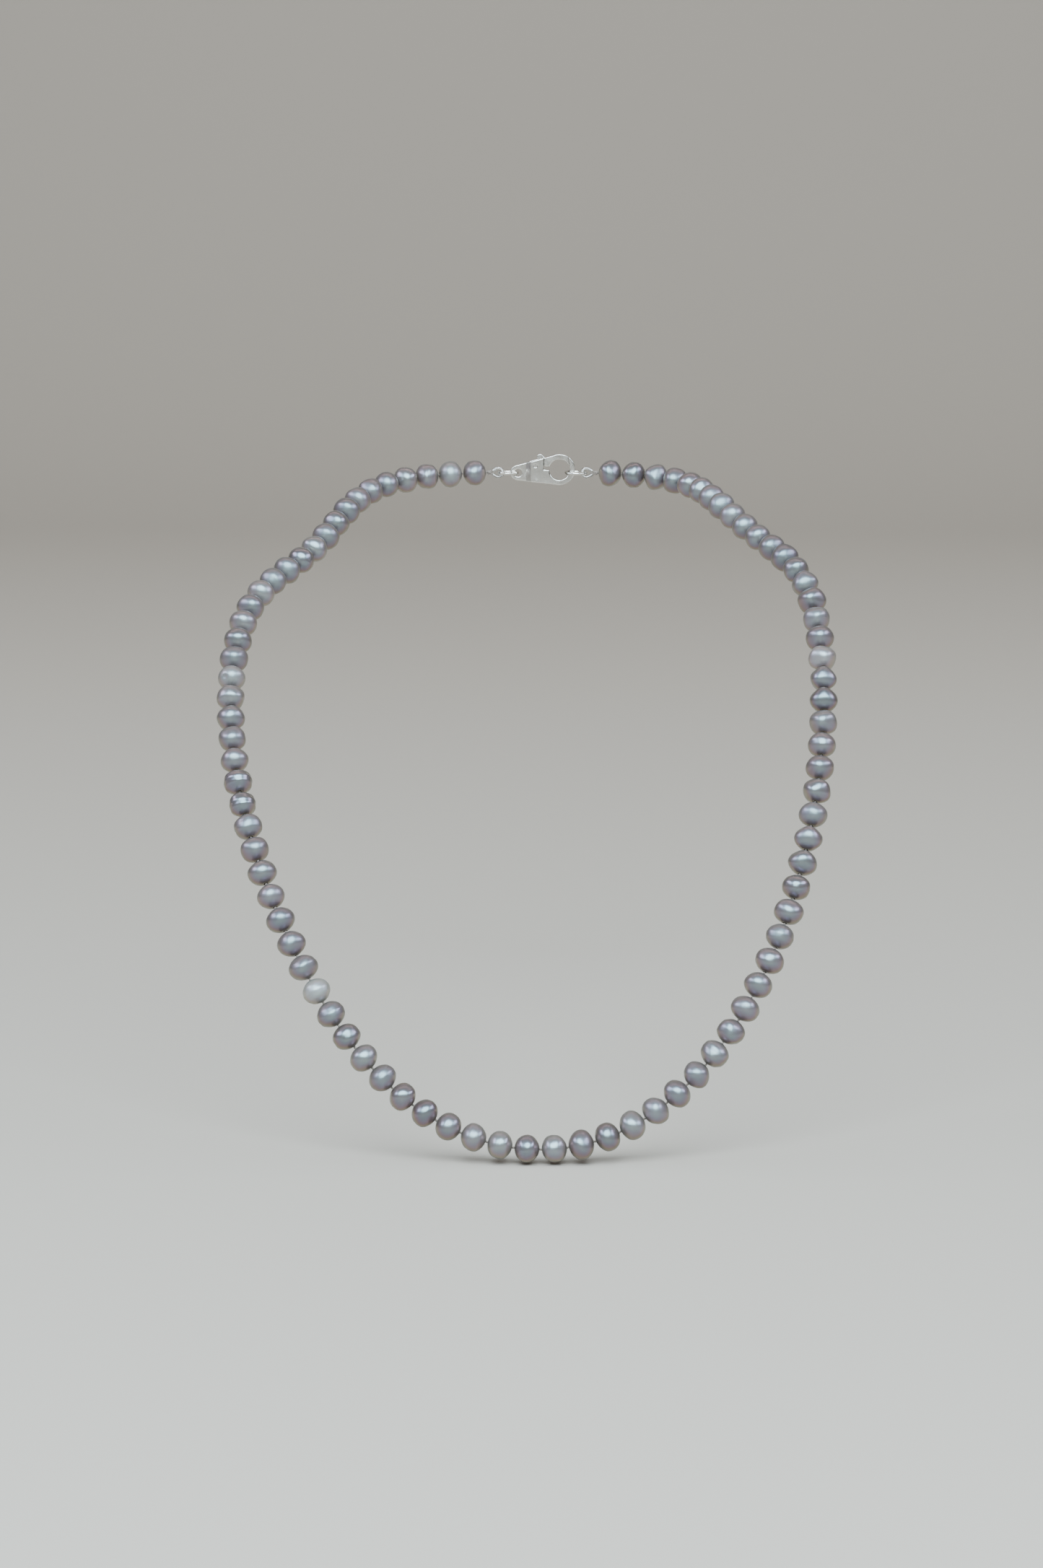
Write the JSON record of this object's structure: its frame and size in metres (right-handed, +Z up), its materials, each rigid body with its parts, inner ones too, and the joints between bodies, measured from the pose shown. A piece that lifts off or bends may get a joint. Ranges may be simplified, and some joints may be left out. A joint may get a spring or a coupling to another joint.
{
  "type": "pearl necklace",
  "caption": "Single strand of grey button pearls on silk thread with a small silver claw clasp, in the drape it has round a neck.",
  "frame": {"origin": "centre of the wearer's neck at the height of the nape, inside the loop", "axes": "+Z up, -Y the wearer's front, +X to the right as seen from the front"},
  "size_m": [0.1171, 0.1224, 0.1175],
  "materials": {
    "nacre": "satin silver-grey nacre with a soft pearly sheen",
    "silk": "twisted silk beading thread",
    "silver": "polished sterling silver",
    "silver_wire": "fine coiled silver-plated wire",
    "spring_steel": "bare spring wire"
  },
  "bodies": {
    "nape": {"clasp_body": "silver", "lever_pin": "silver", "lever_spring": "spring_steel", "gimp_left": "silver_wire", "gimp_right": "silver_wire", "pearls_nape_left": "nacre", "pearls_nape_right": "nacre", "thread_nape_left": "silk", "thread_nape_right": "silk"},
    "lever": {"clasp_lever": "silver"},
    "jump_ring": {"clasp_jump_ring": "silver"},
    "held_ring": {"end_ring": "silver"},
    "band_1": {"pearls_left_1": "nacre", "pearls_right_1": "nacre", "thread_1": "silk"},
    "band_2": {"pearls_left_2": "nacre", "pearls_right_2": "nacre", "thread_2": "silk"},
    "band_3": {"pearls_left_3": "nacre", "pearls_right_3": "nacre", "thread_3": "silk"},
    "band_4": {"pearls_left_4": "nacre", "pearls_right_4": "nacre", "thread_4": "silk"},
    "band_5": {"pearls_left_5": "nacre", "pearls_right_5": "nacre", "thread_5": "silk"},
    "band_6": {"pearls_left_6": "nacre", "pearls_right_6": "nacre", "thread_6": "silk"},
    "band_7": {"pearls_left_7": "nacre", "pearls_right_7": "nacre", "thread_7": "silk"},
    "band_8": {"pearls_left_8": "nacre", "pearls_right_8": "nacre", "thread_8": "silk"},
    "band_9": {"pearls_left_9": "nacre", "pearls_right_9": "nacre", "thread_9": "silk"},
    "band_10": {"pearls_left_10": "nacre", "pearls_right_10": "nacre", "thread_10": "silk"},
    "band_11": {"pearls_left_11": "nacre", "pearls_right_11": "nacre", "thread_11": "silk"},
    "band_12": {"pearls_left_12": "nacre", "pearls_right_12": "nacre", "thread_12": "silk"},
    "band_13": {"pearls_left_13": "nacre", "pearls_right_13": "nacre", "thread_13": "silk"},
    "band_14": {"pearls_left_14": "nacre", "pearls_right_14": "nacre", "thread_14": "silk"},
    "band_15": {"pearls_left_15": "nacre", "pearls_right_15": "nacre", "thread_15": "silk"},
    "front": {"pearls_front": "nacre", "thread_front": "silk"}
  },
  "joints": [
    {"name": "lever_swing", "type": "hinge", "parent": "nape", "child": "lever", "pos_m": [-0.0011, 0.03912, 0.00674], "axis": [0.0032, 1, 0], "range_deg": [0, 10], "stiffness_Nm_per_rad": 0.0005, "springref_deg": -11.46, "deforming": ["lever_spring"]},
    {"name": "jump_ring_twist", "type": "hinge", "parent": "nape", "child": "jump_ring", "pos_m": [-0.0067, 0.03914, 0.00524], "axis": [1, -0.0032, 0.0002], "range_deg": [-15, 15]},
    {"name": "held_ring_twist", "type": "hinge", "parent": "nape", "child": "held_ring", "pos_m": [0.00706, 0.0391, 0.00524], "axis": [1, -0.0032, 0.0002], "range_deg": [-8, 8]},
    {"name": "band_1_lift", "type": "hinge", "parent": "nape", "child": "band_1", "pos_m": [-0.00058, 0.02691, 0.00357], "axis": [-0.9994, 0.0338, -0.006], "range_deg": [0, 11]},
    {"name": "band_2_lift", "type": "hinge", "parent": "band_1", "child": "band_2", "pos_m": [-0.00102, 0.01819, 0.00141], "axis": [-0.9991, 0.0389, -0.0166], "range_deg": [0, 11]},
    {"name": "band_3_lift", "type": "hinge", "parent": "band_2", "child": "band_3", "pos_m": [-0.00068, 0.0097, -0.00207], "axis": [-0.9989, 0.0366, -0.0283], "range_deg": [0, 11]},
    {"name": "band_4_lift", "type": "hinge", "parent": "band_3", "child": "band_4", "pos_m": [-0.00023, 0.00153, -0.00562], "axis": [-0.9989, 0.0311, -0.0339], "range_deg": [0, 11]},
    {"name": "band_5_lift", "type": "hinge", "parent": "band_4", "child": "band_5", "pos_m": [-0.00029, -0.00663, -0.00862], "axis": [-0.9991, 0.0289, -0.0311], "range_deg": [0, 11]},
    {"name": "band_6_lift", "type": "hinge", "parent": "band_5", "child": "band_6", "pos_m": [-0.00074, -0.01492, -0.01272], "axis": [-0.9994, 0.0267, -0.0213], "range_deg": [0, 11]},
    {"name": "band_7_lift", "type": "hinge", "parent": "band_6", "child": "band_7", "pos_m": [-0.00106, -0.02302, -0.01818], "axis": [-0.9997, 0.022, -0.0126], "range_deg": [0, 11]},
    {"name": "band_8_lift", "type": "hinge", "parent": "band_7", "child": "band_8", "pos_m": [-0.00114, -0.03077, -0.02443], "axis": [-0.9998, 0.0166, -0.0059], "range_deg": [0, 11]},
    {"name": "band_9_lift", "type": "hinge", "parent": "band_8", "child": "band_9", "pos_m": [-0.00107, -0.03815, -0.03115], "axis": [-0.9999, 0.0112, 0.0001], "range_deg": [0, 11]},
    {"name": "band_10_lift", "type": "hinge", "parent": "band_9", "child": "band_10", "pos_m": [-0.00088, -0.04513, -0.03824], "axis": [-1, 0.0056, 0.0062], "range_deg": [0, 11]},
    {"name": "band_11_lift", "type": "hinge", "parent": "band_10", "child": "band_11", "pos_m": [-0.0006, -0.05167, -0.04564], "axis": [-0.9999, -0.0001, 0.0126], "range_deg": [0, 11]},
    {"name": "band_12_lift", "type": "hinge", "parent": "band_11", "child": "band_12", "pos_m": [-0.00026, -0.0577, -0.05329], "axis": [-0.9998, -0.0055, 0.0192], "range_deg": [0, 11]},
    {"name": "band_13_lift", "type": "hinge", "parent": "band_12", "child": "band_13", "pos_m": [0.00008, -0.06314, -0.06117], "axis": [-0.9996, -0.0102, 0.0259], "range_deg": [0, 11]},
    {"name": "band_14_lift", "type": "hinge", "parent": "band_13", "child": "band_14", "pos_m": [0.00037, -0.06782, -0.06924], "axis": [-0.9994, -0.0135, 0.0323], "range_deg": [0, 11]},
    {"name": "band_15_lift", "type": "hinge", "parent": "band_14", "child": "band_15", "pos_m": [0.00055, -0.07154, -0.0774], "axis": [-0.9992, -0.0146, 0.0381], "range_deg": [0, 11]},
    {"name": "front_lift", "type": "hinge", "parent": "band_15", "child": "front", "pos_m": [0.00058, -0.07426, -0.0854], "axis": [-0.9989, -0.0142, 0.0436], "range_deg": [0, 11]}
  ]
}
